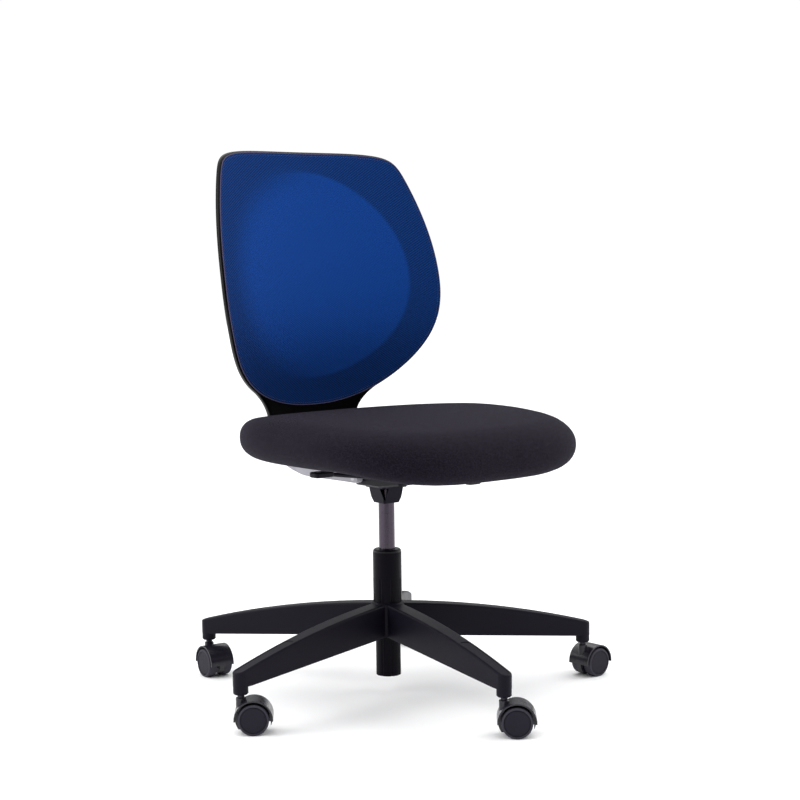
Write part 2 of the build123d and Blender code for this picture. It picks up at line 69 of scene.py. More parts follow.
floor_half = 14.0
studio_floor = stage_sheet("studio_floor", Vector((0, 0, 0)), Vector((floor_half, 0, 0)),
                           Vector((0, floor_half, 0)), (0.97, 0.97, 0.97), roughness=0.9, specular=0.1)

backdrop = bpy.data.worlds.new("backdrop")
backdrop.use_nodes = True
backdrop_nodes = backdrop.node_tree.nodes
backdrop_nodes["Background"].inputs["Color"].default_value = (0.97, 0.98, 1.0, 1)
seen_white = backdrop_nodes.new("ShaderNodeBackground")
seen_white.inputs["Color"].default_value = (1.0, 1.0, 1.0, 1)
seen_white.inputs["Strength"].default_value = 1.02
backdrop_nodes["Background"].inputs["Strength"].default_value = 0.55
which_ray = backdrop_nodes.new("ShaderNodeLightPath")
choose = backdrop_nodes.new("ShaderNodeMixShader")
backdrop.node_tree.links.new(which_ray.outputs["Is Camera Ray"], choose.inputs[0])
backdrop.node_tree.links.new(backdrop_nodes["Background"].outputs[0], choose.inputs[1])
backdrop.node_tree.links.new(seen_white.outputs[0], choose.inputs[2])
backdrop.node_tree.links.new(choose.outputs[0], backdrop_nodes["World Output"].inputs["Surface"])
bpy.context.scene.world = backdrop
bpy.context.scene.view_settings.view_transform = "Standard"


def add_light(name, kind, strength, place, aim, **settings):
    """A lamp at place, turned to face aim."""
    data = bpy.data.lights.new(name, kind)
    data.energy = strength
    for setting, value in settings.items():
        setattr(data, setting, value)
    lamp = bpy.data.objects.new(name, data)
    bpy.context.scene.collection.objects.link(lamp)
    lamp.location = place
    lamp.rotation_euler = (Vector(aim) - Vector(place)).to_track_quat("-Z", "Y").to_euler()
    return lamp


add_light("overhead", "SUN", 2.9, (0.3, 0.2, 4.0), (0, 0, 0), angle=radians(110))
add_light("left_panel", "AREA", 34, (-2.2, 1.2, 1.5), (0, 0, 0.55), size=1.8)
add_light("right_panel", "AREA", 20, (2.4, -0.9, 1.4), (0, 0, 0.55), size=1.8)

view_heading = radians(38.49)       # clockwise from +Y
view_pitch = radians(4.76)          # downwards
view_roll = radians(-0.74)
eye = Vector((-1.8591, -2.3795, 0.7584))
focal_px, picture_px, sensor_mm = 1758.46, 800, 36.0

ahead = Vector((sin(view_heading) * cos(view_pitch), cos(view_heading) * cos(view_pitch), -sin(view_pitch)))
level = Vector((cos(view_heading), -sin(view_heading), 0))
upward = level.cross(ahead)
across = cos(view_roll) * level + sin(view_roll) * upward
upward = across.cross(ahead)
lens = bpy.data.cameras.new("studio_camera")
lens.sensor_width = sensor_mm
lens.lens = focal_px / picture_px * sensor_mm
lens.clip_start, lens.clip_end = 0.1, 60
studio_camera = bpy.data.objects.new("studio_camera", lens)
studio_camera.matrix_world = Matrix.Translation(eye) @ Matrix((across, upward, -ahead)).transposed().to_4x4()
bpy.context.scene.collection.objects.link(studio_camera)
bpy.context.scene.camera = studio_camera

# A black card behind the camera, which only reflections and shadows show
card_half, card_rise, card_back = 1.9, 1.3, 0.4
black_card = stage_sheet("black_card", eye - ahead * card_back, level * card_half, upward * card_rise,
                         (0.01, 0.01, 0.012), roughness=0.95, specular=0.5)
black_card.visible_camera = False

# ---------------------------------------------------------------- five-armed base
# One moulding of glass-filled nylon with a hub, five arms with a shallow channel on top, and hollow
# undersides. The tool leaves a fine spark-eroded grain, and a steel sleeve is pressed in each tip.


class Wire:
    """A socket in a node tree. Arithmetic with it adds Math nodes, and node() adds any other node."""

    def __init__(self, tree, socket=None):
        self.tree = tree
        self.socket = socket

    def node(self, kind, settings, inputs, output=0):
        made = self.tree.nodes.new(kind)
        for name, setting in settings.items():
            if name == "stops":
                while len(made.color_ramp.elements) < len(setting):
                    made.color_ramp.elements.new(0.5)
                for stop, (place, colour) in zip(made.color_ramp.elements, setting):
                    stop.position = place
                    stop.color = colour
            else:
                setattr(made, name, setting)
        for name, value in inputs.items():
            if isinstance(value, Wire):
                self.tree.links.new(value.socket, made.inputs[name])
            else:
                made.inputs[name].default_value = value
        return Wire(self.tree, made.outputs[output])

    def maths(self, operation, *values):
        return self.node("ShaderNodeMath", {"operation": operation}, dict(enumerate(values)))

    def __add__(self, other):
        return self.maths("ADD", self, other)

    def __sub__(self, other):
        return self.maths("SUBTRACT", self, other)

    def __rsub__(self, other):
        return self.maths("SUBTRACT", other, self)

    def __mul__(self, other):
        return self.maths("MULTIPLY", self, other)

    __radd__ = __add__
    __rmul__ = __mul__


def new_finish(name, colour, roughness, **constants):
    """A material with its constant values, and a wire to build its nodes from."""
    finish = bpy.data.materials.new(name)
    finish.use_nodes = True
    shader = finish.node_tree.nodes["Principled BSDF"].inputs
    shader["Base Color"].default_value = (*colour, 1)
    shader["Roughness"].default_value = roughness
    for setting, value in constants.items():
        shader[setting.replace("_", " ")].default_value = value
    return finish, shader, Wire(finish.node_tree)


def feed(wire, shader, name):
    wire.tree.links.new(wire.socket, shader[name])


def position(wire):
    return wire.node("ShaderNodeTexCoord", {}, {}, "Object")


def noise(wire, scale, detail=2.0, roughness=0.5, vector=None):
    where = vector or position(wire)
    return wire.node("ShaderNodeTexNoise", {},
                     {"Vector": where, "Scale": scale, "Detail": detail, "Roughness": roughness}, "Fac")


def mixed(wire, factor, first, second):
    """Colour between first and second."""
    first, second = [(*end, 1) if isinstance(end, tuple) else end for end in (first, second)]
    return wire.node("ShaderNodeMix", {"data_type": "RGBA"}, {0: factor, 6: first, 7: second}, 2)


def bump(wire, height, distance, strength=1.0):
    return wire.node("ShaderNodeBump", {}, {"Height": height, "Distance": distance, "Strength": strength},
                     "Normal")


def moulded(name, colour, roughness, grain, depth, dust=0.25, specular=0.5):
    """Moulded plastic: spark grain of the tool, cloudy gloss, and a little grey dust in the grain."""
    finish, shader, wire = new_finish(name, colour, roughness, Specular_IOR_Level=specular)
    cloud = noise(wire, 9, 3)
    fine = noise(wire, grain, 2, 0.6)
    pale = tuple(c * 1.9 + 0.003 for c in colour)
    feed(mixed(wire, (cloud * fine) * dust, colour, pale), shader, "Base Color")
    feed(cloud * 0.16 + fine * 0.10 + (roughness - 0.13), shader, "Roughness")
    feed(bump(wire, fine, depth), shader, "Normal")
    return finish


def dress(finish, slot, *names):
    """Gives CAD nodes their finish."""
    for name in names:
        data = node[name].data
        data.materials.clear()
        data.materials.append(finish)


base_nylon = moulded("base_nylon", (0.0066, 0.0056, 0.0108), 0.46, 1400, 0.00006, dust=0.1, specular=0.10)
dress(base_nylon, "base_nylon", "base_star")


def steel(name, colour, roughness, line_scale):
    """Turned or ground steel: fine rings left by the tool round the upright axis."""
    finish, shader, wire = new_finish(name, colour, roughness, Metallic=1.0)
    height = wire.node("ShaderNodeSeparateXYZ", {}, {0: position(wire)}, "Z")
    flat = wire.node("ShaderNodeCombineXYZ", {}, {2: height})
    rings = noise(wire, line_scale, 3, 0.7, flat)
    smear = noise(wire, 14, 2)
    feed(mixed(wire, smear * 0.5, colour, tuple(c * 0.78 for c in colour)), shader, "Base Color")
    feed(rings * 0.16 + smear * 0.10 + (roughness - 0.13), shader, "Roughness")
    feed(bump(wire, rings, 0.00004), shader, "Normal")
    return finish


plain_steel = steel("plain_steel", (0.42, 0.42, 0.44), 0.38, 900)

# ---------------------------------------------------------------- column
# Gas spring: a black powder-coated stand tube in the hub, a plastic bush in its mouth, and a ground
# cylinder that slides through it. The rod stands on a ball race, held by a clip under the tube.

powder_coat = moulded("powder_coat", (0.0032, 0.0022, 0.0050), 0.36, 900, 0.00005, dust=0.1, specular=0.06)
bush_plastic = moulded("bush_plastic", (0.005, 0.0045, 0.007), 0.34, 1200, 0.00004, dust=0.1, specular=0.2)
ground_steel = steel("ground_steel", (0.066, 0.055, 0.072), 0.26, 1600)
dark_steel = steel("dark_steel", (0.035, 0.033, 0.040), 0.34, 900)
dress(powder_coat, "black_steel", "stand_tube")
dress(bush_plastic, "bush_plastic", "guide_bush")
dress(ground_steel, "bright_steel", "gas_cylinder", "piston_rod")
dress(plain_steel, "plain_steel", "thrust_bearing", "retaining_clip", "valve_pin")
dress(dark_steel, "dark_steel", "socket_sleeves")

# ---------------------------------------------------------------- casters
# Five twin-wheel casters. A nylon hood and web carry a steel stem and axle, and each hard wheel has a
# softer grey tread moulded round it and a finely textured face.

caster_nylon = moulded("caster_nylon", (0.012, 0.0105, 0.0165), 0.24, 1500, 0.00003, dust=0.15, specular=0.40)
wheel_plastic = moulded("wheel_plastic", (0.0125, 0.0110, 0.0185), 0.55, 2200, 0.00020, dust=0.4,
                        specular=0.15)
tread_rubber = moulded("tread_rubber", (0.034, 0.031, 0.043), 0.60, 700, 0.00006, dust=0.4, specular=0.2)
for number in range(1, 6):
    caster = f"caster_{number}"
    dress(caster_nylon, "caster_nylon", f"{caster}_housing")
    dress(dark_steel, "dark_steel", f"{caster}_stem", f"{caster}_axle")
    dress(wheel_plastic, "wheel_plastic", f"{caster}_wheel_left", f"{caster}_wheel_right")
    dress(tread_rubber, "tread_soft", f"{caster}_tread_left", f"{caster}_tread_right")

# ---------------------------------------------------------------- mechanism
# A cast housing under the seat takes the cylinder's taper and both pivot pins. A square tapered boot
# covers the joint below it, and a wound steel spring lies inside.

housing_paint = moulded("housing_paint", (0.006, 0.0052, 0.0092), 0.40, 600, 0.00008, dust=0.15,
                        specular=0.12)
# The carrier's light grey base colour is a painted reflection of the white floor on its underside, on top of
# its own gloss.
carrier_plastic = moulded("carrier_plastic", (0.30, 0.29, 0.33), 0.22, 1600, 0.00002, dust=0.1, specular=0.6)
boot_plastic = moulded("boot_plastic", (0.0085, 0.0072, 0.0135), 0.34, 1600, 0.00003, dust=0.1, specular=0.06)
dress(housing_paint, "mechanism_metal", "mechanism_housing", "height_lever", "tilt_lock_lever")
dress(boot_plastic, "carrier_plastic", "socket_boot", "tension_knob")
dress(carrier_plastic, "carrier_plastic", "back_carrier")
dress(plain_steel, "plain_steel", "tilt_spring", "back_pivot_pin", "seat_pivot_pin")

# ---------------------------------------------------------------- seat pan
# A ribbed black plate of moulded plastic on the front pivot pin. Four pan-head screws go up through
# it into the cushion's board.

pan_plastic = moulded("pan_plastic", (0.006, 0.006, 0.008), 0.45, 900, 0.00010, specular=0.2)
dress(pan_plastic, "pan_plastic", "seat_pan")

# ---------------------------------------------------------------- seat cushion
# Moulded foam on a board, crowned on top and rolled down at the front. A close woven charcoal cover
# is pulled tight over it and stapled underneath, so that no seam shows.

seat_half = 0.255
seat_front, seat_rear = -0.310, 0.195
seat_middle, seat_reach = (seat_front + seat_rear) / 2, (seat_rear - seat_front) / 2
seat_under = 0.4137
seat_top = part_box("seat_cushion")[1].z - 0.0005
seat_spokes = 160


def between(value, first, last):
    """Smooth step from 0 at first to 1 at last."""
    share = min(max((value - first) / (last - first), 0), 1)
    return share * share * (3 - 2 * share)


def seat_top_line(x, y):
    """Height of the cushion's top: a low crown both ways, and a small extra drop at the front."""
    crown_y, crown_run, crown_drop = -0.04, 0.20, 0.0108
    roll_y, roll_run, roll_drop = -0.24, 0.11, 0.0066
    side_drop = 0.0031
    lengthwise = crown_drop * ((y - crown_y) / crown_run) ** 2
    at_front = roll_drop * (max(roll_y - y, 0) / roll_run) ** 2
    return seat_top - lengthwise - at_front - side_drop * (x / seat_half) ** 2


def seat_under_line(y):
    """Height of its underside: flat on the pan, and down under the front roll."""
    dip_y, dip_run, dip = -0.15, 0.15, 0.027
    return seat_under - dip * (max(dip_y - y, 0) / dip_run) ** 1.6


def seat_ring(share, turned, upper):
    """One closed ring of points. Turned goes from 0, level at its edge, to a quarter turn, on its face."""
    ring = []
    for k in range(seat_spokes):
        turn = 2 * pi * k / seat_spokes
        c, s = cos(turn), sin(turn)
        rear = between(s, -0.3, 0.3)
        power = 3.14 - 0.14 * rear
        radius = 0.049 - 0.024 * rear if upper else 0.037
        inset = radius * (1 - cos(turned))
        x = np.sign(c) * (seat_half - inset) * abs(c) ** (2 / power) * share
        y = np.sign(s) * (seat_reach - inset) * abs(s) ** (2 / power) * share + seat_middle
        top, bottom = seat_top_line(x, y), seat_under_line(y)
        rounded = min(radius, (top - bottom) / 2) * (1 - sin(turned))
        ring.append((x, y, top - rounded if upper else bottom + rounded))
    return ring


def skin(name, rings, close_ends=True):
    """A mesh over a stack of closed rings, each of the same number of points."""
    count = len(rings[0])
    points = [p for ring in rings for p in ring]
    faces = []
    for r in range(len(rings) - 1):
        for k in range(count):
            n = (k + 1) % count
            faces.append((r * count + k, r * count + n, (r + 1) * count + n, (r + 1) * count + k))
    if close_ends:
        for r, flip in ((0, True), (len(rings) - 1, False)):
            points.append(tuple(np.mean(rings[r], axis=0)))
            for k in range(count):
                corner = (r * count + k, r * count + (k + 1) % count, len(points) - 1)
                faces.append(corner[::-1] if flip else corner)
    mesh = bpy.data.meshes.new(name)
    mesh.from_pydata(points, [], faces)
    mesh.validate()
    return mesh


def add_piece(name, mesh, finish, body, smooth=True):
    """Puts a finished mesh in the scene as a piece that moves with a body."""
    piece = bpy.data.objects.new(name, mesh)
    bpy.context.scene.collection.objects.link(piece)
    mesh.materials.clear()
    mesh.materials.append(finish)
    if smooth:
        mesh.shade_smooth()
    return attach(piece, body)


quarter = [pi / 2 * k / 9 for k in range(10)]
rings = [seat_ring(share, pi / 2, False) for share in (0.3, 0.55, 0.75, 0.88, 0.96)]
rings += [seat_ring(1, turned, False) for turned in reversed(quarter)]
rings += [seat_ring(1, turned, True) for turned in quarter]
rings += [seat_ring(share, pi / 2, True) for share in (0.96, 0.88, 0.75, 0.6, 0.45, 0.3, 0.15)]
cushion_mesh = skin("seat_cushion_cover", rings)

weave, weave_in, weave_wire = new_finish("charcoal_weave", (0.020, 0.018, 0.024), 0.86,
                                         Specular_IOR_Level=0.08, Sheen_Weight=0.05, Sheen_Roughness=0.4)
weave_in["Sheen Tint"].default_value = (0.75, 0.70, 0.9, 1)


def coordinates(wire):
    """The object coordinates, one wire to each axis."""
    where = position(wire)
    return {axis: wire.node("ShaderNodeSeparateXYZ", {}, {0: where}, axis) for axis in "XYZ"}


cloth_at = coordinates(weave_wire)
yarn = 2 * pi / 0.0013              # yarns 1.3 mm apart
warp = weave_wire.maths("SINE", (cloth_at["X"] + cloth_at["Z"] * 0.5) * yarn)
weft = weave_wire.maths("SINE", (cloth_at["Y"] + cloth_at["Z"] * 0.5) * yarn)
crepe = noise(weave_wire, 900, 3, 0.7)
fleck = noise(weave_wire, 420, 2, 0.8)
patch = noise(weave_wire, 5, 2)
cloth_height = warp * weft * 0.35 + crepe
pale_yarn = weave_wire.node("ShaderNodeValToRGB", {"stops": [(0.42, (0, 0, 0, 1)), (0.72, (1, 1, 1, 1))]},
                            {"Fac": fleck})
pale_share = weave_wire.node("ShaderNodeRGBToBW", {}, {0: pale_yarn}) * 0.4
ground = mixed(weave_wire, patch, (0.0045, 0.0034, 0.0078), (0.0085, 0.0056, 0.0108))
feed(mixed(weave_wire, pale_share, ground, (0.034, 0.028, 0.047)), weave_in, "Base Color")
feed(bump(weave_wire, cloth_height, 0.00045), weave_in, "Normal")

seat_cushion_cover = add_piece("seat_cushion_cover", cushion_mesh, weave, "seat")


def swell(piece, pressure, cap, held_below):
    """Blows the cover up as cloth over foam: the edge that is stapled to the board stays where it is."""
    remesh = piece.modifiers.new("remesh", "REMESH")
    remesh.mode = "VOXEL"
    remesh.voxel_size = 0.006
    bpy.context.view_layer.update()
    mesh = bpy.data.meshes.new_from_object(piece.evaluated_get(bpy.context.evaluated_depsgraph_get()))
    mesh.name = piece.data.name
    piece.modifiers.remove(remesh)
    piece.data = mesh
    held = piece.vertex_groups.new(name="stapled")
    start = np.array([v.co for v in mesh.vertices])
    held.add([i for i, p in enumerate(start) if p[2] < held_below(p[1])], 1.0, "REPLACE")
    cloth = piece.modifiers.new("cover", "CLOTH")
    cloth.settings.use_pressure = True
    cloth.settings.uniform_pressure_force = pressure
    cloth.settings.effector_weights.gravity = 0
    cloth.settings.vertex_group_mass = "stapled"
    cloth.settings.quality = 4
    for moment in range(1, 21):
        bpy.context.scene.frame_set(moment)
    swollen = piece.evaluated_get(bpy.context.evaluated_depsgraph_get()).data
    out = np.array([v.normal for v in mesh.vertices])
    rise = ((np.array([v.co for v in swollen.vertices]) - start) * out).sum(1)
    rise = np.maximum(cap * np.tanh(rise / cap), 0)
    pairs = np.array([edge.vertices[:] for edge in mesh.edges])
    pairs = np.concatenate([pairs, pairs[:, ::-1]])
    beside = np.bincount(pairs[:, 0], minlength=len(start))
    for _ in range(80):             # evens out the small wrinkles of a cover that is not yet pulled tight
        rise = 0.4 * rise + 0.6 * np.bincount(pairs[:, 0], rise[pairs[:, 1]], len(start)) / beside
    final = start + out * rise[:, None]
    piece.modifiers.remove(cloth)
    bpy.context.scene.frame_set(1)
    mesh.vertices.foreach_set("co", final.astype(np.float32).ravel())
    mesh.update()


swell(seat_cushion_cover, pressure=4, cap=0.003, held_below=lambda y: seat_under_line(y) + 0.006)
finer = seat_cushion_cover.modifiers.new("finer", "SUBSURF")
finer.levels = finer.render_levels = 1
seat_cushion_cover.data.shade_smooth()
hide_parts("seat_cushion")

# ---------------------------------------------------------------- back frame
# One black moulding: a wide ring round an oval opening, curved round the sitter and forward at the
# lumbar, with a neck below that the carrier is screwed to. All its edges are rounded.

frame_low, frame_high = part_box("back_frame")
back_half, back_top, neck_foot = frame_high.x, frame_high.z, frame_low.z
shield_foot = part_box("back_mesh")[0].z - 0.0035
lumbar_y, lumbar_z = 0.181, 0.640
round_sitter = 0.520                # radius of the back's curve round the sitter
frame_behind, frame_thick = 0.0019, 0.012
widest_z = 0.710
opening_half, opening_rise, opening_z = 0.190, 0.186, 0.7225
top_power, side_power, foot_power = 30.0, 4.2, 2.2
flare = 0.95


def spine(z):
    """How far back the middle line of the back lies at a height."""
    above = z - lumbar_z
    if above > 0:
        lean, knee = 0.291, 0.100
        return lumbar_y + lean * (sqrt(above ** 2 + knee ** 2) - knee)
    run, depth = 0.170, 0.034
    return lumbar_y + depth / 2 * (1 - cos(pi * min(-above, run) / run))


def on_back(x, z, behind):
    """A point of the back's curved surface, set back by behind."""
    return (x, spine(z) + behind - round_sitter + sqrt(round_sitter ** 2 - x ** 2), z)


def shield_edge(inset):
    """Half of the shield's outline, from its foot up the +X side to the middle of its top."""
    half, above, below = back_half - inset, back_top - inset - widest_z, widest_z - shield_foot - inset
    turn = np.linspace(pi / 2, 0, 300)
    foot = np.stack([half * np.cos(turn) ** (2 / foot_power),
                     widest_z - below * np.sin(turn) ** (2 / foot_power)], axis=1)
    corner = 0.96
    rise = np.linspace(0.002, corner, 300)
    side = np.stack([(half - flare * (rise * above) ** 2) * (1 - rise ** top_power) ** (1 / side_power),
                     widest_z + rise * above], axis=1)
    share = np.linspace((1 - corner ** top_power) ** (1 / side_power), 0, 200)[1:]
    rise = (1 - share ** side_power) ** (1 / top_power)
    top = np.stack([(half - flare * (rise * above) ** 2) * share, widest_z + rise * above], axis=1)
    return np.concatenate([foot, side, top])


def reach_from_opening(edge, directions):
    """How far an outline reaches from the opening's middle in each direction, which 0 has pointing down."""
    x, z = edge[:, 0], edge[:, 1] - opening_z
    turn, radius = np.arctan2(x, -z), np.hypot(x, z)
    order = np.argsort(turn)
    return np.interp(np.minimum(directions, 2 * pi - directions), turn[order], radius[order], right=0)


def neck_edge():
    """The neck's side, which flares from its foot into the shield."""
    z = np.linspace(neck_foot, 0.526, 80)
    x = 0.093 + 0.057 * ((z - neck_foot) / 0.080) ** 2.4
    foot = np.stack([np.linspace(0, 0.093, 30), np.full(30, neck_foot)], axis=1)
    return np.concatenate([foot, np.stack([x, z], axis=1)])


def evened(reach):
    """A closed outline's reach, averaged a little with its neighbours."""
    return (np.roll(reach, 1) + 2 * reach + np.roll(reach, -1)) / 4


spokes = 288
directions = np.arange(spokes) * 2 * pi / spokes
outer = np.maximum(reach_from_opening(shield_edge(0), directions),
                   reach_from_opening(neck_edge(), directions))
outer = evened(outer)
opening = opening_half * opening_rise / np.hypot(opening_rise * np.sin(directions),
                                                 opening_half * np.cos(directions))


def frame_section():
    """Rounded section of the ring: (share of the way out, distance in from that edge, depth)."""
    outer_round, inner_round, steps = 0.0042, 0.003, 5
    arc = [pi / 2 * k / steps for k in range(steps + 1)]
    section = [(1, outer_round * (1 - sin(a)), outer_round * (1 - cos(a))) for a in arc]
    section += [(1, outer_round * (1 - cos(a)), frame_thick - outer_round * (1 - sin(a))) for a in arc]
    section += [(share, 0, frame_thick) for share in (0.85, 0.7, 0.5, 0.3, 0.15)]
    section += [(0, inner_round * (1 - sin(a)), frame_thick - inner_round * (1 - cos(a))) for a in arc]
    section += [(0, inner_round * (1 - cos(a)), inner_round * (1 - sin(a))) for a in arc]
    section += [(share, 0, 0) for share in (0.15, 0.3, 0.5, 0.7, 0.85)]
    return section


rings = []
for share, inset, depth in frame_section():
    ring = []
    for k, turn in enumerate(directions):
        radius = opening[k] + (outer[k] - opening[k]) * share
        if share == 0:
            radius += inset
        elif share == 1:
            radius -= inset
        x, z = radius * sin(turn), opening_z - radius * cos(turn)
        rear_crown = 0
        if depth == frame_thick:
            rear_crown = 0.0025 * sin(pi * share) * min(max((z - 0.54) / 0.06, 0), 1)
        ring.append(on_back(x, z, frame_behind + depth + rear_crown))
    rings.append(ring)
rings.append(rings[0])
frame_plastic = moulded("frame_plastic", (0.0008, 0.0006, 0.0011), 0.30, 1300, 0.00003, dust=0.0,
                        specular=0.12)
frame_mesh = skin("back_frame_moulding", rings, close_ends=False)


def merged(mesh, distance=1e-6):
    """Joins doubled points, and turns every face outwards."""
    work = bmesh.new()
    work.from_mesh(mesh)
    bmesh.ops.remove_doubles(work, verts=work.verts, dist=distance)
    bmesh.ops.recalc_face_normals(work, faces=work.faces)
    work.to_mesh(mesh)
    work.free()
    return mesh


back_frame_moulding = add_piece("back_frame_moulding", merged(frame_mesh), frame_plastic,
                                "back")
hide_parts("back_frame")

# ---------------------------------------------------------------- back mesh
# A blue spacer knit, cut to the shield and stretched over the frame. Its face has fine diagonal ribs both
# ways.
# Over the oval opening its colour is painted lighter for the light that comes through it from behind, and
# over the frame ring painted darker, as shade.

mesh_inset, mesh_thick = 0.0035, 0.0014
mesh_reach = evened(reach_from_opening(shield_edge(mesh_inset), directions))


def mesh_ring(share, inset, depth):
    ring = []
    for k, turn in enumerate(directions):
        radius = mesh_reach[k] * share - inset
        ring.append(on_back(radius * sin(turn), opening_z - radius * cos(turn), depth))
    return ring


shares = [0.02, 0.1, 0.2, 0.3, 0.4, 0.5, 0.6, 0.7, 0.8, 0.88, 0.94, 0.98]
lip = mesh_thick / 2
rings = [mesh_ring(share, 0, 0) for share in shares]
rings += [mesh_ring(1, lip * (1 - sin(a)), lip * (1 - cos(a))) for a in (0, pi / 4, pi / 2, 3 * pi / 4, pi)]
rings += [mesh_ring(share, 0, mesh_thick) for share in reversed(shares)]
knit_mesh = merged(skin("back_mesh_knit", rings))

knit, knit_in, knit_wire = new_finish("blue_knit", (0.010, 0.050, 0.26), 0.75, Specular_IOR_Level=0.04,
                                      Sheen_Weight=0.02, Sheen_Roughness=0.4)
knit_in["Sheen Tint"].default_value = (0.45, 0.6, 1.0, 1)


def fade(wire, value, first, last):
    """Smooth step of a wire, from 0 at first to 1 at last."""
    return wire.node("ShaderNodeMapRange", {"interpolation_type": "SMOOTHSTEP"},
                     {"Value": value, "From Min": first, "From Max": last})


knit_at = coordinates(knit_wire)
rib_lean = radians(33)
rib = 2 * pi / 0.0036               # ribs 3.6 mm apart
rib_up, rib_across = knit_at["Z"] * cos(rib_lean), knit_at["X"] * sin(rib_lean)
rise_rib = knit_wire.maths("SINE", (rib_up - rib_across) * rib)
fall_rib = knit_wire.maths("SINE", (rib_up + rib_across) * (rib * 1.12))
lower = fade(knit_wire, knit_at["Z"], 0.74, 0.60)
# Painted light: the oval over the opening gets a lighter colour for light that comes through the knit, and
# the ring over the frame gets a darker, shaded one. The painted oval sits 7 mm towards -X. Its edge is soft
# on the -X side and crisp on the +X side, and the ribs are painted fainter inside it.
across_hole = (knit_at["X"] + 0.007) * (1 / opening_half)
up_hole = (knit_at["Z"] - opening_z) * (1 / opening_rise)
from_middle = knit_wire.maths("SQRT", across_hole * across_hole + up_hole * up_hole)
crisp = fade(knit_wire, from_middle, 1.02, 0.97)
soft = fade(knit_wire, from_middle, 1.12, 0.74)
on_left = fade(knit_wire, knit_at["X"], -0.09, 0.06)
light_through_hole = soft * (1.0 - on_left) + crisp * on_left
ribs = rise_rib * (1.0 - lower) + fall_rib * lower
minor = rise_rib * fall_rib
relief = ribs * 0.5 + minor * 0.3 + 0.5
strong = 1.0 - light_through_hole * (1.0 - lower * 0.8) * 0.75
shade = ribs * strong * 0.5 + 0.5
# Painted light: a shaded colour over the frame ring, and a lit colour over the opening.
shaded_over_frame = mixed(knit_wire, shade, (0.0025, 0.0170, 0.085), (0.0056, 0.0390, 0.180))
lit_through = mixed(knit_wire, shade, (0.0034, 0.0345, 0.185), (0.0066, 0.0550, 0.280))
feed(mixed(knit_wire, light_through_hole, shaded_over_frame, lit_through), knit_in, "Base Color")
feed(bump(knit_wire, relief, 0.00012), knit_in, "Normal")

back_mesh_knit = add_piece("back_mesh_knit", knit_mesh, knit, "back")
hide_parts("back_mesh")

# ---------------------------------------------------------------- mesh edge
# The knit ends in a thin moulded edge strip that presses into the frame's groove. It shows as a fine
# mauve bead, with a row of short stitches beside it.


def edge_path(name, inset, behind):
    """A closed line of edges along the shield's outline."""
    half = shield_edge(inset)
    outline = np.concatenate([half, (half[::-1] * (-1, 1))[1:-1]])
    step = np.linalg.norm(np.diff(np.vstack([outline, outline[:1]]), axis=0), axis=1)
    along = np.concatenate([[0], np.cumsum(step)])
    even = np.linspace(0, along[-1], 481)[:-1]
    x = np.interp(even, along, np.append(outline[:, 0], outline[0, 0]))
    z = np.interp(even, along, np.append(outline[:, 1], outline[0, 1]))
    points = [on_back(a, b, behind) for a, b in zip(x, z)]
    line = bpy.data.meshes.new(name)
    line.from_pydata(points, [(k, (k + 1) % len(points)) for k in range(len(points))], [])
    return line


def new_tree(name, sizes):
    """An empty Geometry Nodes tree with named inputs, and wires to its inputs."""
    tree = bpy.data.node_groups.new(name, "GeometryNodeTree")
    tree.interface.new_socket("Geometry", in_out="INPUT", socket_type="NodeSocketGeometry")
    for size in sizes:
        tree.interface.new_socket(size, in_out="INPUT", socket_type="NodeSocketFloat")
    tree.interface.new_socket("Geometry", in_out="OUTPUT", socket_type="NodeSocketGeometry")
    start = tree.nodes.new("NodeGroupInput")
    return tree, {socket.name: Wire(tree, socket) for socket in start.outputs if socket.name}


def finish_tree(geometry, finish):
    """Ends a tree: instances made real, shaded smooth, and given their finish."""
    real = geometry.node("GeometryNodeRealizeInstances", {}, {0: geometry})
    smooth = real.node("GeometryNodeSetShadeSmooth", {}, {0: real})
    coated = smooth.node("GeometryNodeSetMaterial", {}, {0: smooth, "Material": finish})
    end = geometry.tree.nodes.new("NodeGroupOutput")
    geometry.tree.links.new(coated.socket, end.inputs[0])


def grow(name, start, tree, sizes):
    """Runs a tree on a starting mesh, and keeps what comes out as a plain mesh."""
    seed = bpy.data.objects.new(name + "_seed", start)
    bpy.context.scene.collection.objects.link(seed)
    modifier = seed.modifiers.new("nodes", "NODES")
    modifier.node_group = tree
    for socket in tree.interface.items_tree:
        if socket.name in sizes:
            modifier[socket.identifier] = sizes[socket.name]
    bpy.context.view_layer.update()
    mesh = bpy.data.meshes.new_from_object(seed.evaluated_get(bpy.context.evaluated_depsgraph_get()))
    mesh.name = name
    bpy.data.objects.remove(seed)
    return mesh


strip_plastic = moulded("strip_plastic", (0.055, 0.045, 0.105), 0.5, 900, 0.00005, dust=0.2, specular=0.2)
tree, given = new_tree("bead_tree", ["Radius"])
line = given["Geometry"].node("GeometryNodeMeshToCurve", {}, {0: given["Geometry"]})
round_section = line.node("GeometryNodeCurvePrimitiveCircle", {},
                          {"Resolution": 8, "Radius": given["Radius"]})
bead = line.node("GeometryNodeCurveToMesh", {}, {0: line, 1: round_section})
finish_tree(bead, strip_plastic)
bead_mesh = grow("mesh_edge_bead", edge_path("bead_line", 0.0036, 0.0003), tree, {"Radius": 0.0009})
add_piece("mesh_edge_bead", bead_mesh, strip_plastic, "back")

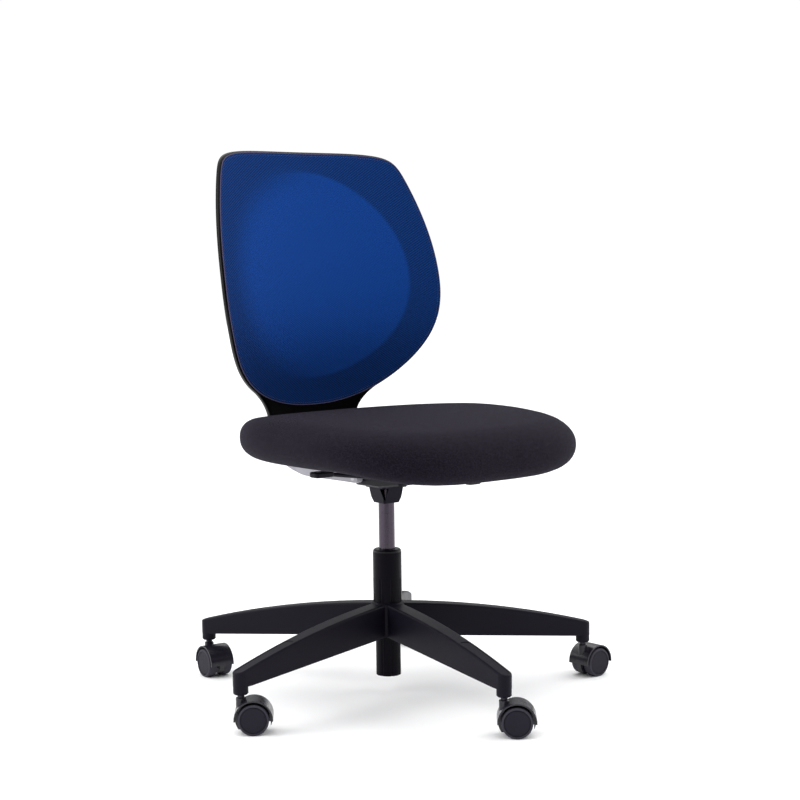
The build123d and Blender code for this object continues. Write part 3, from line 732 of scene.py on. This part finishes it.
thread = moulded("edge_thread", (0.05, 0.06, 0.16), 0.7, 2000, 0.00004, dust=0.3)
tree, given = new_tree("stitch_tree", ["Pitch", "Thickness", "Length"])
line = given["Geometry"].node("GeometryNodeMeshToCurve", {}, {0: given["Geometry"]})
spots = line.node("GeometryNodeCurveToPoints", {"mode": "LENGTH"}, {0: line, "Length": given["Pitch"]})
turned = Wire(tree, spots.socket.node.outputs["Rotation"])
ball = line.node("GeometryNodeMeshUVSphere", {}, {"Segments": 6, "Rings": 4, "Radius": 1.0})
shape = line.node("ShaderNodeCombineXYZ", {},
                  {0: given["Thickness"], 1: given["Thickness"], 2: given["Length"]})
placed = line.node("GeometryNodeInstanceOnPoints", {},
                   {"Points": spots, "Instance": ball, "Rotation": turned, "Scale": shape})
finish_tree(placed, thread)
stitch_mesh = grow("mesh_edge_stitches", edge_path("stitch_line", 0.0075, -0.0001), tree,
                   {"Pitch": 0.0042, "Thickness": 0.00035, "Length": 0.0014})
add_piece("mesh_edge_stitches", stitch_mesh, thread, "back")

# ---------------------------------------------------------------- screws
# Zinc-plated pan-head screws with a six-lobed recess: four up through the pan into the cushion's board,
# and four through the carrier into the neck. One turned head is repeated at each place.


def screw_head():
    """One head, with its seat at the origin and its axis along +Z."""
    radius, height, recess, lobes = 0.0050, 0.0030, 0.0021, 6
    turns = [2 * pi * k / 36 for k in range(36)]
    profile = [(radius * 0.96, 0), (radius, 0.0004), (radius * 0.98, height * 0.45),
               (radius * 0.86, height * 0.80), (radius * 0.66, height * 0.97), (radius * 0.52, height)]
    rings = [[(r * cos(t), r * sin(t), z) for t in turns] for r, z in profile]
    for scale, z in ((1.0, height), (0.94, height - 0.0003), (0.90, height - 0.0016)):
        rings.append([(recess * scale * (1 + 0.13 * cos(lobes * t)) * cos(t),
                       recess * scale * (1 + 0.13 * cos(lobes * t)) * sin(t), z) for t in turns])
    return merged(skin("screw_head", rings))


head = bpy.data.objects.new("screw_head_seed", screw_head())
bpy.context.scene.collection.objects.link(head)
pan_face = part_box("seat_screws")[0].z + 0.003
carrier_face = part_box("back_screws")[1].y - 0.006
under_seat = [(x, y, pan_face) for x in (-0.15, 0.15) for y in (-0.11, 0.11)]
behind_neck = [(x, carrier_face, z) for x in (-0.06, 0.06) for z in (0.460, 0.486)]
for body, tilt, places in (("seat", pi, under_seat), ("back", -pi / 2, behind_neck)):
    spots = bpy.data.meshes.new(body + "_spots")
    spots.from_pydata(places, [], [])
    tree, given = new_tree(body + "_screw_tree", ["Tilt"])
    tree.interface.new_socket("Head", in_out="INPUT", socket_type="NodeSocketObject")
    shape = Wire(tree, tree.nodes["Group Input"].outputs["Head"])
    solid = shape.node("GeometryNodeObjectInfo", {}, {"Object": shape}, "Geometry")
    lean = shape.node("ShaderNodeCombineXYZ", {}, {0: given["Tilt"]})
    placed = shape.node("GeometryNodeInstanceOnPoints", {},
                        {"Points": given["Geometry"], "Instance": solid, "Rotation": lean})
    finish_tree(placed, plain_steel)
    screw_mesh = grow(body + "_screw_heads", spots, tree, {"Tilt": tilt, "Head": head})
    screws = add_piece(body + "_screw_heads", screw_mesh, plain_steel, body)
    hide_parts(body + "_screws")
bpy.data.objects.remove(head)
